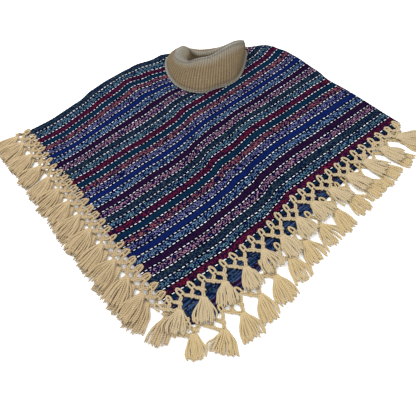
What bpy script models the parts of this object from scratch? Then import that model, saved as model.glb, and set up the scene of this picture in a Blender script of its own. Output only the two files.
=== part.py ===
"""Wool poncho laid flat: a striped hand-woven panel folded in two, with a knitted
turn-down collar at its neck corner and a knotted, tasselled fringe on both hems.

Metres, +Z up, the garment resting on Z = 0. Sizes on the cloth are first worked out
from its front point, the lowest corner of the front layer: u runs along the stripes
from the left hem to the folded edge, v runs across them from the front stripe to the
shoulder seam. Both lie at 45 degrees to X, so +Y points from front point to neck.
"""
import math
from collections import namedtuple

import bmesh
import bpy
import numpy as np

# Driving sizes
STRIPE_PERIOD = 0.185
PANEL_LENGTH = 3.385 * STRIPE_PERIOD
PANEL_START = -0.10 * STRIPE_PERIOD
PANEL_END = 3.25 * STRIPE_PERIOD
CLOTH = 0.0025
GAP = 0.0003

# The front point, measured from the middle of the garment's box
FRONT_POINT = (-0.0049, -0.3056)

# Front layer: cells of its grid, and the rounded rim that meets the back layer
CELLS_ALONG = 24
CELLS_ACROSS = 23
RIM = 0.012
RIM_STEPS = (0.0015, 0.0055)

# How far the cloth sways sideways, in millimetres, at places along the stripes given
# in stripe periods: one column for each of the four main stripes, one for the seam.
# along, stripe_1, stripe_2, stripe_3, stripe_4, seam
SWAY = (
    (0.00, 0, 2, 0, -2, 7),
    (0.40, -7, -5, -5, -10, 0),
    (0.85, -13, -6, -6, -3, 4),
    (1.10, -8, -8, -10, 5, 15),
    (1.35, -8, -4, -11, 9, 18),
    (1.55, -3, 8, -9, 16, 16),
    (1.80, 7, 10, 1, 0, 12),
    (2.15, 7, 17, -3, -22, -8),
    (2.65, 4, 11, -5, -20, -10),
    (3.10, 1, 8, -4, -8, -6),
    (3.40, -1, 4, 10, 0, 0),
)
SWAY_ACROSS = (0.0, 1.0, 2.0, 3.0, 3.25)

# How far the folded edge stands out, in millimetres, going up from the right hem.
# across (in stripe periods), shift
FOLD_EDGE = (
    (-0.10, 5),
    (0.70, 7),
    (1.00, 5),
    (1.25, 11),
    (1.60, 14),
    (1.80, 13),
    (2.00, 6),
    (2.20, -6),
    (2.50, -10),
    (3.25, -10),
)

# Soft swells of the front layer, in millimetres from the front point
Swell = namedtuple("Swell", "x y half_length half_width turn height")
SWELLS = (
    Swell(212, 688, 62, 42, -45, 14),
    Swell(-85, 640, 60, 85, 0, 8),
    Swell(10, 560, 95, 38, 0, 7),
    Swell(-190, 612, 75, 48, 40, 10),
    Swell(-285, 590, 55, 36, 45, 7),
    Swell(141, 425, 70, 42, 60, 7),
    Swell(270, 285, 85, 42, 45, 7),
    Swell(330, 470, 80, 40, 50, 6),
    Swell(-330, 330, 95, 45, 50, 5),
    Swell(-60, 185, 90, 38, 40, 5),
    Swell(-180, 420, 95, 40, 35, 5),
)

# The main fold, from under the collar to the right hem, in millimetres
Crest = namedtuple("Crest", "x y height half_width")
RIDGE = (
    Crest(41, 545, 9, 26),
    Crest(70, 440, 12, 22),
    Crest(92, 358, 15, 19),
    Crest(124, 300, 15, 18),
    Crest(159, 246, 14, 18),
    Crest(178, 186, 10, 17),
    Crest(196, 150, 6, 16),
)

# Cloth that stands up in a fold is drawn forwards by so many times its height
DRAW_FORWARD = (0.332, -0.943)
DRAW_AT_FRONT = 0.75
DRAW_AT_NECK = 1.30
NECK_DISTANCE = 0.720
DRAW_ROUNDS = 4

# Neck: a straight cut across the corner, and the front's deeper scoop below it
NECK_LEFT = (-0.143, 0.706)
NECK_RIGHT = (0.150, 0.725)
SCOOP_CENTRE_X = 0.002
SCOOP_HALF_WIDTH = 0.090
SCOOP_DEPTH = 0.148
SCOOP_STEPS = 20
CUTTER_BOTTOM = -0.02
CUTTER_HEIGHT = 0.10

# Hem of the back layer where it shows past the front one: u and v in stripe periods
BACK_HEM = (
    (0.03, -0.41),
    (0.14, -0.49),
    (0.30, -0.53),
    (0.69, -0.495),
    (1.21, -0.39),
    (1.46, -0.345),
    (2.00, -0.285),
    (2.70, -0.20),
    (3.385, -0.115),
)
BACK_EDGE_STEPS = 15

# Collar, in millimetres from the front point: where the turned-down edge lies, its
# rolled rim with half its width, and the inner edge where it is sewn to the neck
CollarRow = namedtuple("CollarRow", "foot_x foot_y rim_x rim_y rim_z rim_half_width seam_x seam_y")
COLLAR = (
    (24, 541, 22, 639, 42, 6.5, 21, 590),
    (56, 560, 50, 660, 44, 6.5, 41, 612),
    (86, 587, 76, 680, 46, 8, 54, 640),
    (100, 622, 94, 687, 46, 11, 60, 664),
    (105, 662, 104, 692, 45, 14, 63, 680),
    (104, 700, 101, 702, 43, 14, 62, 688),
    (88, 714, 80, 706, 40, 9, 54, 691),
    (54, 715, 52, 695, 36, 6.5, 40, 690),
    (20, 713, 18, 684, 31, 6.5, 15, 684),
    (-13, 710, -12, 679, 31, 6.5, -11, 681),
    (-44, 709, -38, 693, 35, 8, -30, 682),
    (-80, 704, -59, 698, 40, 14, -36, 676),
    (-99, 682, -72, 678, 41, 18, -38, 664),
    (-97, 646, -70, 652, 41, 16, -38, 650),
    (-80, 604, -54, 630, 42, 11, -34, 634),
    (-50, 567, -34, 620, 43, 7, -27, 612),
    (-14, 547, -9, 630, 42, 6.5, -5, 594),
)
COLLAR_SECTIONS = 51
COLLAR_CLEARANCE = 0.0008
UNDERSIDE_SAMPLES = 7
LIP_RISE = 0.007
LIP_ROLL = 0.0015
RIM_DROP = 0.0045
RIM_ROLL = 0.002

# Up the collar's outer face: the share of the way from foot to rim, and the bulge there
OUTER_STEPS = ((0.35, 0.0035), (0.72, 0.0035), (0.96, 0.0010))

# Fringe: hanks looped through the hem, knotted in pairs and gathered into tassels
HEM_GAP = 0.0005
HEM_SAMPLES = 17
LOOP_WIDTH = 0.0125
LOOP_DEPTH = 0.0060
LOOP_TOP = 0.0021
LEG_WIDTH = 0.0066
KNOT_DISTANCE = 0.0150
KNOT_SIZE = 0.0060
KNOT_NOTCH = 0.0018
KNOT_SHIFT = 0.0048
TASSEL_DISTANCE = 0.0370
TASSEL_NECK = 0.0060
TASSEL_NECK_WIDTH = 0.0105
TASSEL_HEAD_WIDTH = 0.0150
STRANDS = 4
STRAND_START = 0.0054
STRAND_ROOT_WIDTH = 0.00345
STRAND_WIDTH = 0.0064
STRAND_TIP_WIDTH = 0.0051
STRAND_SPREAD = 0.0092
STRAND_LENGTH = 0.0430
STRAND_MIDDLE = 0.45
STRAND_TAPER = 0.05
STRAND_JITTER = 0.08
STRAND_BEND = 0.0015

# Heights of the fringe above what it lies on
YARN = 0.0032
HEAD_HEIGHT = 0.0046
ROOT_HEIGHT = 0.0038
MIDDLE_HEIGHT = 0.0035
TIP_HEIGHT = 0.0026
FLOOR_CLEARANCE = 0.0004
BACK_FRINGE_TOP = FLOOR_CLEARANCE + HEAD_HEIGHT
RAMP = 0.010
HEM_LIFT_FADE = 0.045
TASSEL_SEED = 7

# Tassel rows: where the first one hangs and their spacing, in stripe periods; how far
# the corner one, the next one and the last one reach, as shares of the usual; and how
# many degrees they lean towards the front point, at even steps along the row
TasselRow = namedtuple("TasselRow", "first pitch count reach_corner reach_start reach_end leans")
FRONT_RIGHT_ROW = TasselRow(0.05, 0.2630, 13, 0.85, 1.00, 0.78, (50, 18, 0, -12, -34))
FRONT_LEFT_ROW = TasselRow(0.13, 0.2695, 12, 1.00, 1.06, 1.00, (22, 18, 14, 12, 8))
BACK_RIGHT_ROW = TasselRow(0.01, 0.2475, 14, 0.74, 1.02, 0.90, (34, 16, 8, -4, -25))
BACK_LEFT_ROW = TasselRow(-0.24, 0.2695, 14, 0.74, 1.06, 1.00, (30, 16, 14, 12, 8))
LEAN_JITTER = 5.0

# Colours
NAVY = (0.020, 0.036, 0.110, 1.0)
NAVY_INSIDE = (0.024, 0.034, 0.085, 1.0)
CREAM = (0.62, 0.48, 0.30, 1.0)
CREAM_YARN = (0.66, 0.50, 0.31, 1.0)

MM = 0.001
DIAGONAL = math.sqrt(0.5)


def clear_scene():
    for obj in list(bpy.data.objects):
        bpy.data.objects.remove(obj, do_unlink=True)


def new_collection(name):
    collection = bpy.data.collections.new(name)
    bpy.context.scene.collection.children.link(collection)
    return collection


def wool_material(name, colour):
    material = bpy.data.materials.new(name)
    material.use_nodes = True
    shader = material.node_tree.nodes["Principled BSDF"]
    shader.inputs["Base Color"].default_value = colour
    shader.inputs["Roughness"].default_value = 0.9
    shader.inputs["Metallic"].default_value = 0.0
    material.diffuse_color = colour
    return material


def add_object(name, bm, collection, root, material=None):
    mesh = bpy.data.meshes.new(name)
    bm.to_mesh(mesh)
    bm.free()
    obj = bpy.data.objects.new(name, mesh)
    collection.objects.link(obj)
    obj.parent = root
    if material:
        mesh.materials.append(material)
    return obj


def solidify(obj, thickness, group=None):
    """Thickens an open surface on its upper side."""
    modifier = obj.modifiers.new("wall", "SOLIDIFY")
    modifier.thickness = thickness
    modifier.offset = 1.0
    modifier.use_rim = True
    if group:
        modifier.vertex_group = group
        modifier.thickness_vertex_group = 0.0
    return modifier


def cut(obj, cutter):
    modifier = obj.modifiers.new("cut", "BOOLEAN")
    modifier.operation = "DIFFERENCE"
    modifier.solver = "EXACT"
    modifier.object = cutter


def smooth_step(value):
    t = min(max(value, 0.0), 1.0)
    return t * t * (3.0 - 2.0 * t)


def eased(x, xs, ys):
    """Reads a table with an easy curve between its rows."""
    if x <= xs[0]:
        return ys[0]
    if x >= xs[-1]:
        return ys[-1]
    i = int(np.searchsorted(xs, x, side="right")) - 1
    t = (x - xs[i]) / (xs[i + 1] - xs[i])
    return ys[i] + (ys[i + 1] - ys[i]) * smooth_step(t)


def closed_curve(rows, count):
    """Catmull-Rom curve through a closed ring of rows, read at count places."""
    table = np.array(rows, dtype=float)
    size = len(table)
    points = []
    for k in range(count):
        place = k * size / count
        i = int(place)
        t = place - i
        p0, p1, p2, p3 = (table[(i + j) % size] for j in (-1, 0, 1, 2))
        points.append(0.5 * (2 * p1 + (p2 - p0) * t + (2 * p0 - 5 * p1 + 4 * p2 - p3) * t ** 2
                             + (3 * p1 - p0 - 3 * p2 + p3) * t ** 3))
    return points


def on_floor(u, v):
    """Turns a place on the panel into X and Y from the front point."""
    return (u - v) * DIAGONAL, (u + v) * DIAGONAL


def sway(u, v):
    table = np.array(SWAY, dtype=float)
    along = u / STRIPE_PERIOD
    across = [eased(along, table[:, 0], column) for column in table.T[1:]]
    return eased(v / STRIPE_PERIOD, SWAY_ACROSS, across) * MM


def fold_shift(u, v):
    """The folded edge's own curve, which fades out towards the left hem."""
    table = np.array(FOLD_EDGE, dtype=float)
    shift = eased(v / STRIPE_PERIOD, table[:, 0], table[:, 1]) * MM
    return shift * (u / PANEL_LENGTH) ** 3


def swell_height(x, y):
    total = 0.0
    for swell in SWELLS:
        angle = math.radians(swell.turn)
        dx = x / MM - swell.x
        dy = y / MM - swell.y
        a = (dx * math.cos(angle) + dy * math.sin(angle)) / swell.half_length
        b = (dy * math.cos(angle) - dx * math.sin(angle)) / swell.half_width
        total += swell.height * math.exp(-(a * a + b * b))
    return total * MM


def ridge_height(x, y):
    best = 0.0
    for start, end in zip(RIDGE[:-1], RIDGE[1:]):
        dx = end.x - start.x
        dy = end.y - start.y
        t = ((x / MM - start.x) * dx + (y / MM - start.y) * dy) / (dx * dx + dy * dy)
        t = min(max(t, 0.0), 1.0)
        distance = math.hypot(x / MM - start.x - t * dx, y / MM - start.y - t * dy)
        height = start.height + (end.height - start.height) * t
        half_width = start.half_width + (end.half_width - start.half_width) * t
        best = max(best, height * math.exp(-(distance / half_width) ** 2))
    return best * MM


def front_lift(x, y):
    """How far the front layer stands above the back one."""
    return swell_height(x, y) + ridge_height(x, y)


def rim_factor(u, v):
    """Rounds the layer down to the back one at the fold and at the shoulder seam."""
    distance = max(min(PANEL_LENGTH - u, PANEL_END - v), 0.0)
    t = min(distance / RIM, 1.0)
    return math.sqrt(1.0 - (1.0 - t) ** 2)


def drawn_share(y):
    return DRAW_AT_FRONT + (DRAW_AT_NECK - DRAW_AT_FRONT) * y / NECK_DISTANCE


def front_surface(u, v):
    """Underside of the front layer at a place on the panel."""
    x, y = on_floor(u + fold_shift(u, v), v + sway(u, v))
    lift = front_lift(x, y) * rim_factor(u, v)
    draw = lift * drawn_share(y)
    return x + draw * DRAW_FORWARD[0], y + draw * DRAW_FORWARD[1], CLOTH + GAP + lift


def front_top(x, y):
    """Upper side of the front layer over a point, where its neck scoop is filled in."""
    lift = front_lift(x, y)
    for _ in range(DRAW_ROUNDS):
        draw = lift * drawn_share(y)
        lift = front_lift(x - draw * DRAW_FORWARD[0], y - draw * DRAW_FORWARD[1])
    return CLOTH + GAP + lift + CLOTH


def grid_steps(start, end, cells):
    """Even steps, with two narrow ones at the rounded rim."""
    steps = list(np.linspace(start, end - RIM, cells))
    return steps + [end - step for step in reversed(RIM_STEPS)] + [end]


def neck_line(x):
    """Y of the straight neck cut."""
    t = (x - NECK_LEFT[0]) / (NECK_RIGHT[0] - NECK_LEFT[0])
    return NECK_LEFT[1] + (NECK_RIGHT[1] - NECK_LEFT[1]) * t


def neck_cutter(name, scooped, collection, root):
    """A tall prism over the neck corner, with or without the front's scoop."""
    far = PANEL_LENGTH
    outline = [(-far, 2 * far), (-far, neck_line(-far)), (NECK_LEFT[0], NECK_LEFT[1])]
    if scooped:
        for k in range(SCOOP_STEPS + 1):
            angle = math.pi * (1.0 + k / SCOOP_STEPS)
            x = SCOOP_CENTRE_X + SCOOP_HALF_WIDTH * math.cos(angle)
            outline.append((x, neck_line(x) + SCOOP_DEPTH * math.sin(angle)))
    outline += [(NECK_RIGHT[0], NECK_RIGHT[1]), (far, neck_line(far)), (far, 2 * far)]
    bm = bmesh.new()
    base = bm.faces.new([bm.verts.new((x, y, CUTTER_BOTTOM)) for x, y in outline])
    prism = bmesh.ops.extrude_face_region(bm, geom=[base])
    top = [item for item in prism["geom"] if isinstance(item, bmesh.types.BMVert)]
    bmesh.ops.translate(bm, verts=top, vec=(0.0, 0.0, CUTTER_HEIGHT))
    bmesh.ops.recalc_face_normals(bm, faces=bm.faces)
    cutter = add_object(name, bm, collection, root)
    cutter.hide_render = True
    cutter.display_type = "WIRE"
    return cutter


def front_layer(collection, cutters, root, material):
    us = grid_steps(0.0, PANEL_LENGTH, CELLS_ALONG)
    vs = grid_steps(PANEL_START, PANEL_END, CELLS_ACROSS)
    bm = bmesh.new()
    rows = [[bm.verts.new(front_surface(u, v)) for u in us] for v in vs]
    for lower, upper in zip(rows[:-1], rows[1:]):
        for i in range(len(us) - 1):
            bm.faces.new((lower[i], lower[i + 1], upper[i + 1], upper[i]))
    obj = add_object("cloth_front", bm, collection, root, material)
    solidify(obj, CLOTH)
    cut(obj, neck_cutter("neck_front", True, cutters, root))
    return obj


def back_hem(u):
    table = np.array(BACK_HEM) * STRIPE_PERIOD
    return float(np.interp(u, table[:, 0], table[:, 1]))


def back_outline():
    """The back layer's outline: its hem, then under the front's fold, seam and hem."""
    outline = [on_floor(u * STRIPE_PERIOD, v * STRIPE_PERIOD) for u, v in BACK_HEM]
    up_the_fold = np.linspace(0.0, PANEL_END, BACK_EDGE_STEPS)
    down_the_seam = np.linspace(PANEL_LENGTH, 0.0, BACK_EDGE_STEPS)
    outline += [front_surface(PANEL_LENGTH, v)[:2] for v in up_the_fold]
    outline += [front_surface(u, PANEL_END)[:2] for u in down_the_seam[1:]]
    return outline + [on_floor(0.0, 0.0)]


def back_layer(collection, cutters, root, material):
    bm = bmesh.new()
    base = bm.faces.new([bm.verts.new((x, y, 0.0)) for x, y in back_outline()])
    base.normal_update()
    if base.normal.z < 0:
        base.normal_flip()
    obj = add_object("cloth_back", bm, collection, root, material)
    solidify(obj, CLOTH)
    cut(obj, neck_cutter("neck_back", False, cutters, root))
    return obj


def resting_heights(foot, seam):
    """Heights of a section's two lower edges, so that its underside clears the cloth."""
    foot_z = front_top(*foot) + COLLAR_CLEARANCE
    seam_z = front_top(*seam) + COLLAR_CLEARANCE
    short = 0.0
    for t in np.linspace(0.0, 1.0, UNDERSIDE_SAMPLES):
        place = foot + (seam - foot) * t
        chord = foot_z + (seam_z - foot_z) * t
        short = max(short, front_top(*place) + COLLAR_CLEARANCE - chord)
    return foot_z + short, seam_z + short


def collar_section(values):
    """One section of the collar's ring, from the foot over the rim to the seam."""
    row = CollarRow(*values * MM)
    foot = np.array((row.foot_x, row.foot_y))
    rim = np.array((row.rim_x, row.rim_y))
    seam = np.array((row.seam_x, row.seam_y))
    foot_z, seam_z = resting_heights(foot, seam)
    inward = (seam - foot) / np.linalg.norm(seam - foot)
    lip_z = foot_z + LIP_RISE
    edge_z = row.rim_z - RIM_DROP

    def outer(share, bulge):
        place = foot + (rim - foot) * share - inward * bulge / 2
        return (*place, lip_z + (edge_z - lip_z) * share + bulge)

    def inner(share):
        edge = rim + inward * row.rim_half_width
        return (*(edge + (seam - edge) * share), edge_z + (seam_z - edge_z) * share)

    return [
        (*foot, foot_z),
        (*(foot - inward * LIP_ROLL), foot_z + LIP_RISE / 2),
        (*(foot + inward * LIP_ROLL), lip_z),
        *(outer(share, bulge) for share, bulge in OUTER_STEPS),
        (*(rim + inward * RIM_ROLL), row.rim_z),
        inner(0.0),
        inner(0.5),
        (*seam, seam_z),
    ]


def collar(collection, root, material):
    sections = [collar_section(row) for row in closed_curve(COLLAR, COLLAR_SECTIONS)]
    bm = bmesh.new()
    rings = [[bm.verts.new(point) for point in section] for section in sections]
    size = len(rings[0])
    for i, ring in enumerate(rings):
        following = rings[(i + 1) % len(rings)]
        for k in range(size):
            m = (k + 1) % size
            bm.faces.new((ring[k], following[k], following[m], ring[m]))
    bmesh.ops.recalc_face_normals(bm, faces=bm.faces)
    obj = add_object("collar", bm, collection, root, material)
    obj.data.shade_smooth()
    return obj


class Hem:
    """A hem as a run of points on the cloth's edge, with its outward side."""

    def __init__(self, points, outward):
        self.points = np.array(points)
        self.outward = np.array(outward)

    def read(self, s):
        """Point on the edge at s, which runs past both ends in a straight line."""
        table = self.points
        if s <= table[0, 0]:
            return table[0, 1:] + self.along() * (s - table[0, 0])
        if s >= table[-1, 0]:
            return table[-1, 1:] + self.along() * (s - table[-1, 0])
        return np.array([np.interp(s, table[:, 0], table[:, k]) for k in (1, 2, 3)])

    def bulge(self, start, end):
        """How far the hem stands out past the straight line between two of its points."""
        first = self.read(start)[:2]
        last = self.read(end)[:2]
        excess = 0.0
        for t in np.linspace(0.0, 1.0, HEM_SAMPLES):
            chord = first + (last - first) * t
            point = self.read(start + (end - start) * t)[:2]
            excess = max(excess, (point - chord) @ self.outward)
        return excess

    def along(self):
        turned = (-self.outward[1], self.outward[0], 0.0)
        forward = self.points[-1, 1:3] - self.points[0, 1:3]
        sign = 1.0 if forward @ np.array(turned[:2]) > 0 else -1.0
        return sign * np.array(turned)


def back_edge_distance(x, y):
    """How far a point lies outside the back layer; negative inside."""
    u = (x + y) * DIAGONAL
    v = (y - x) * DIAGONAL
    return max(-u, back_hem(u) - v)


def front_fringe_floor(x, y):
    """What the front fringe lies on: the back layer, or past it the back fringe."""
    outside = back_edge_distance(x, y)
    on_cloth = CLOTH + FLOOR_CLEARANCE
    at_edge = FLOOR_CLEARANCE + YARN + GAP
    past_edge = BACK_FRINGE_TOP + GAP
    rise = smooth_step((outside + RAMP) / RAMP)
    climb = smooth_step(outside / RAMP)
    return on_cloth + (at_edge - on_cloth) * rise + (past_edge - at_edge) * climb


class FringeSheet:
    """A flat net of yarn on its hem, made of joined faces and later thickened."""

    def __init__(self, hem, floor):
        self.hem = hem
        self.floor = floor
        self.bm = bmesh.new()
        self.heights = []

    def vertex(self, s, d, height):
        edge = self.hem.read(s)
        x, y = edge[:2] + self.hem.outward * (d + HEM_GAP)
        lift = max(edge[2] - CLOTH - GAP, 0.0) * (1.0 - smooth_step(d / HEM_LIFT_FADE))
        self.heights.append(height)
        return self.bm.verts.new((x, y, self.floor(x, y) + lift))

    def face(self, *vertices):
        self.bm.faces.new(vertices)

    def loop(self, s):
        """A hank looped over the hem: its two lower edges start its two legs."""
        half = LOOP_WIDTH / 2
        clear = self.hem.bulge(s - half, s + half)
        top_left = self.vertex(s - half, clear, LOOP_TOP)
        top_right = self.vertex(s + half, clear, LOOP_TOP)
        left = self.vertex(s - half, LOOP_DEPTH, YARN)
        middle = self.vertex(s, LOOP_DEPTH, YARN)
        right = self.vertex(s + half, LOOP_DEPTH, YARN)
        self.face(top_left, left, middle, right, top_right)
        return (left, middle), (middle, right)

    def knot(self, s, left_leg, right_leg, towards, reach):
        """Ties two legs together and returns the edge where they go on."""
        distance = KNOT_DISTANCE * reach
        left = self.vertex(s - KNOT_SIZE, distance, YARN)
        middle = self.vertex(s, distance - KNOT_NOTCH, YARN)
        right = self.vertex(s + KNOT_SIZE, distance, YARN)
        low = s + KNOT_SHIFT * towards
        low_left = self.vertex(low - LEG_WIDTH / 2, distance + KNOT_SIZE, YARN)
        low_right = self.vertex(low + LEG_WIDTH / 2, distance + KNOT_SIZE, YARN)
        self.face(*left_leg, middle, left)
        self.face(*right_leg, right, middle)
        self.face(left, middle, right, low_right, low_left)
        return low_left, low_right

    def tassel(self, s, left_leg, right_leg, lean, reach, rng):
        """Gathers four legs in a head, with its strands fanned out below."""
        sin_lean = math.sin(lean)
        cos_lean = math.cos(lean)
        distance = TASSEL_DISTANCE * reach

        def place(across, along, height):
            return self.vertex(s + across * cos_lean - along * sin_lean,
                               distance + along * cos_lean + across * sin_lean, height)

        def pair(middle, width, along, height):
            return place(middle - width / 2, along, height), place(middle + width / 2, along, height)

        top_left, top_right = pair(0.0, TASSEL_NECK_WIDTH, -TASSEL_NECK, YARN)
        top = place(0.0, -TASSEL_NECK, YARN)
        wide_left, wide_right = pair(0.0, TASSEL_HEAD_WIDTH, 0.0, HEAD_HEIGHT)
        roots = [place((k - STRANDS / 2) * STRAND_ROOT_WIDTH, STRAND_START, ROOT_HEIGHT)
                 for k in range(STRANDS + 1)]
        self.face(*left_leg, top, top_left)
        self.face(*right_leg, top_right, top)
        self.face(top_left, top, top_right, wide_right, wide_left)
        self.face(wide_left, wide_right, *reversed(roots))
        for k in range(STRANDS):
            centre = k - (STRANDS - 1) / 2
            share = 1.0 - STRAND_TAPER * abs(centre) + rng.uniform(-STRAND_JITTER, STRAND_JITTER)
            length = STRAND_LENGTH * share * (1.0 + reach) / 2
            bend = rng.uniform(-STRAND_BEND, STRAND_BEND)
            middle = centre * (STRAND_ROOT_WIDTH + STRAND_SPREAD) / 2 + bend
            mid_left, mid_right = pair(middle, STRAND_WIDTH, STRAND_START + length * STRAND_MIDDLE,
                                       MIDDLE_HEIGHT)
            tip_left, tip_right = pair(centre * STRAND_SPREAD, STRAND_TIP_WIDTH, STRAND_START + length,
                                       TIP_HEIGHT)
            self.face(roots[k], roots[k + 1], mid_right, mid_left)
            self.face(mid_left, mid_right, tip_right, tip_left)

    def finish(self, name, collection, root, material):
        bmesh.ops.recalc_face_normals(self.bm, faces=self.bm.faces)
        if sum(face.normal.z for face in self.bm.faces) < 0:
            bmesh.ops.reverse_faces(self.bm, faces=self.bm.faces)
        obj = add_object(name, self.bm, collection, root, material)
        group = obj.vertex_groups.new(name="height")
        for index, height in enumerate(self.heights):
            group.add([index], height / HEAD_HEIGHT, "REPLACE")
        solidify(obj, HEAD_HEIGHT, "height")
        return obj


def fringe(name, hem, floor, row, collection, root, material):
    """One knotted fringe: loops at every half pitch, a tassel under every second."""
    rng = np.random.default_rng(TASSEL_SEED + len(name))
    sheet = FringeSheet(hem, floor)
    pitch = row.pitch * STRIPE_PERIOD
    start = row.first * STRIPE_PERIOD
    lean_places = np.linspace(0.0, 1.0, len(row.leans))
    before = sheet.loop(start - pitch / 2)
    for k in range(row.count):
        s = start + k * pitch
        share = k / (row.count - 1)
        reach = row.reach_start + (row.reach_end - row.reach_start) * share if k else row.reach_corner
        middle = sheet.loop(s)
        after = sheet.loop(s + pitch / 2)
        left = sheet.knot(s - pitch / 4, before[1], middle[0], 1, reach)
        right = sheet.knot(s + pitch / 4, middle[1], after[0], -1, reach)
        lean = np.interp(share, lean_places, row.leans) + rng.uniform(-LEAN_JITTER, LEAN_JITTER)
        sheet.tassel(s, left, right, math.radians(lean), reach, rng)
        before = after
    return sheet.finish(name, collection, root, material)


def front_hems():
    """The front layer's own edge points, so that the fringe follows it exactly."""
    us = grid_steps(0.0, PANEL_LENGTH, CELLS_ALONG)
    vs = grid_steps(PANEL_START, PANEL_END, CELLS_ACROSS)
    right = [(u, *front_surface(u, PANEL_START)) for u in us]
    left = [(v, *front_surface(0.0, v)) for v in vs]
    return right, left


def back_hems():
    right = [(u * STRIPE_PERIOD, *on_floor(u * STRIPE_PERIOD, v * STRIPE_PERIOD), 0.0)
             for u, v in BACK_HEM]
    lowest = BACK_HEM[0]
    left = [(lowest[1] * STRIPE_PERIOD, *on_floor(*(STRIPE_PERIOD * value for value in lowest)), 0.0),
            (0.0, *on_floor(0.0, 0.0), 0.0),
            (PANEL_END, *front_surface(0.0, PANEL_END)[:2], 0.0)]
    return right, left


def all_fringes(collection, root, material):
    towards_right = (DIAGONAL, -DIAGONAL)
    towards_left = (-DIAGONAL, -DIAGONAL)
    front_right, front_left = front_hems()
    back_right, back_left = back_hems()

    def on_ground(x, y):
        return FLOOR_CLEARANCE

    rows = (
        ("fringe_front_right", front_right, towards_right, front_fringe_floor, FRONT_RIGHT_ROW),
        ("fringe_front_left", front_left, towards_left, front_fringe_floor, FRONT_LEFT_ROW),
        ("fringe_back_right", back_right, towards_right, on_ground, BACK_RIGHT_ROW),
        ("fringe_back_left", back_left, towards_left, on_ground, BACK_LEFT_ROW),
    )
    for name, points, outward, floor, row in rows:
        fringe(name, Hem(points, outward), floor, row, collection, root, material)


def build():
    clear_scene()
    garment = new_collection("wool_poncho")
    cutters = new_collection("cutters")
    root = bpy.data.objects.new("poncho", None)
    root.location = (FRONT_POINT[0], FRONT_POINT[1], 0.0)
    garment.objects.link(root)
    back_layer(garment, cutters, root, wool_material("woven_back", NAVY_INSIDE))
    front_layer(garment, cutters, root, wool_material("woven_front", NAVY))
    collar(garment, root, wool_material("knitted_collar", CREAM))
    all_fringes(garment, root, wool_material("fringe_yarn", CREAM_YARN))


build()
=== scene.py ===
"""Looks of the wool poncho: woven stripes, a knitted collar and knotted yarn fringes.

Metres, +Z up. Places on the cloth are worked out as for its solids: u runs along the
stripes from the left hem to the folded edge, v across them from the front stripe to the
shoulder seam, and both start at the front point.
"""
import math
from collections import namedtuple

import bmesh
import bpy
import numpy as np
from mathutils import Matrix, Vector


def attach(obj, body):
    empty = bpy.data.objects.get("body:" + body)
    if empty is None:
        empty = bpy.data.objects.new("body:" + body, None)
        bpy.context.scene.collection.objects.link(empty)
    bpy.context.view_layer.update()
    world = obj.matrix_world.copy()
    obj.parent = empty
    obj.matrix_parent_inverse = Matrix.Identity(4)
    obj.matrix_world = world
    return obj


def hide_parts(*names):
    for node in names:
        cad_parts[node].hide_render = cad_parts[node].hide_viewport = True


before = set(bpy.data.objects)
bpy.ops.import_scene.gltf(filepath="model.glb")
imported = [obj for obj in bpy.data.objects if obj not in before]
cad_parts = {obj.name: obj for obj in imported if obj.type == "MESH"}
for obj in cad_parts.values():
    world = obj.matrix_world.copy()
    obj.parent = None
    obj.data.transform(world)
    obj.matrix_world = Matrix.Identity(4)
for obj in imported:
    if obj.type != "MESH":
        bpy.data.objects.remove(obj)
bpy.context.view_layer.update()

# Driving sizes of the cloth, as in its solids
STRIPE_PERIOD = 0.185
PANEL_LENGTH = 3.385 * STRIPE_PERIOD
PANEL_START = -0.10 * STRIPE_PERIOD
PANEL_END = 3.25 * STRIPE_PERIOD
CLOTH = 0.0025
GAP = 0.0003
FRONT_POINT = Vector((-0.0049, -0.3056, 0.0))
RIM = 0.012
RIM_STEPS = (0.0004, 0.0015, 0.0032, 0.0055, 0.0085)
CELL = 0.0034
SHELL = 0.0020

# How far the cloth sways sideways, in millimetres, at places along the stripes given
# in stripe periods: one column for each of the four main stripes, one for the seam.
# along, stripe_1, stripe_2, stripe_3, stripe_4, seam
SWAY = (
    (0.00, 0, 2, 0, -2, 7),
    (0.40, -7, -5, -5, -10, 0),
    (0.85, -13, -6, -6, -3, 4),
    (1.10, -8, -8, -10, 5, 15),
    (1.35, -8, -4, -11, 9, 18),
    (1.55, -3, 8, -9, 16, 16),
    (1.80, 7, 10, 1, 0, 12),
    (2.15, 7, 17, -3, -22, -8),
    (2.65, 4, 11, -5, -20, -10),
    (3.10, 1, 8, -4, -8, -6),
    (3.40, -1, 4, 10, 0, 0),
)
SWAY_TABLE = np.array(SWAY, dtype=float)
SWAY_ACROSS = (0.0, 1.0, 2.0, 3.0, 3.25)

# How far the folded edge stands out, in millimetres, going up from the right hem.
# across (in stripe periods), shift
FOLD_EDGE = (
    (-0.10, 5),
    (0.70, 7),
    (1.00, 5),
    (1.25, 11),
    (1.60, 14),
    (1.80, 13),
    (2.00, 6),
    (2.20, -6),
    (2.50, -10),
    (3.25, -10),
)
FOLD_TABLE = np.array(FOLD_EDGE, dtype=float)

# Soft swells of the front layer, in millimetres from the front point
Swell = namedtuple("Swell", "x y half_length half_width turn height")
SWELLS = (
    Swell(212, 688, 62, 42, -45, 14),
    Swell(-85, 640, 60, 85, 0, 8),
    Swell(10, 560, 95, 38, 0, 7),
    Swell(-190, 612, 75, 48, 40, 10),
    Swell(-285, 590, 55, 36, 45, 7),
    Swell(141, 425, 70, 42, 60, 7),
    Swell(270, 285, 85, 42, 45, 7),
    Swell(330, 470, 80, 40, 50, 6),
    Swell(-330, 330, 95, 45, 50, 5),
    Swell(-60, 185, 90, 38, 40, 5),
    Swell(-180, 420, 95, 40, 35, 5),
)

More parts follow.
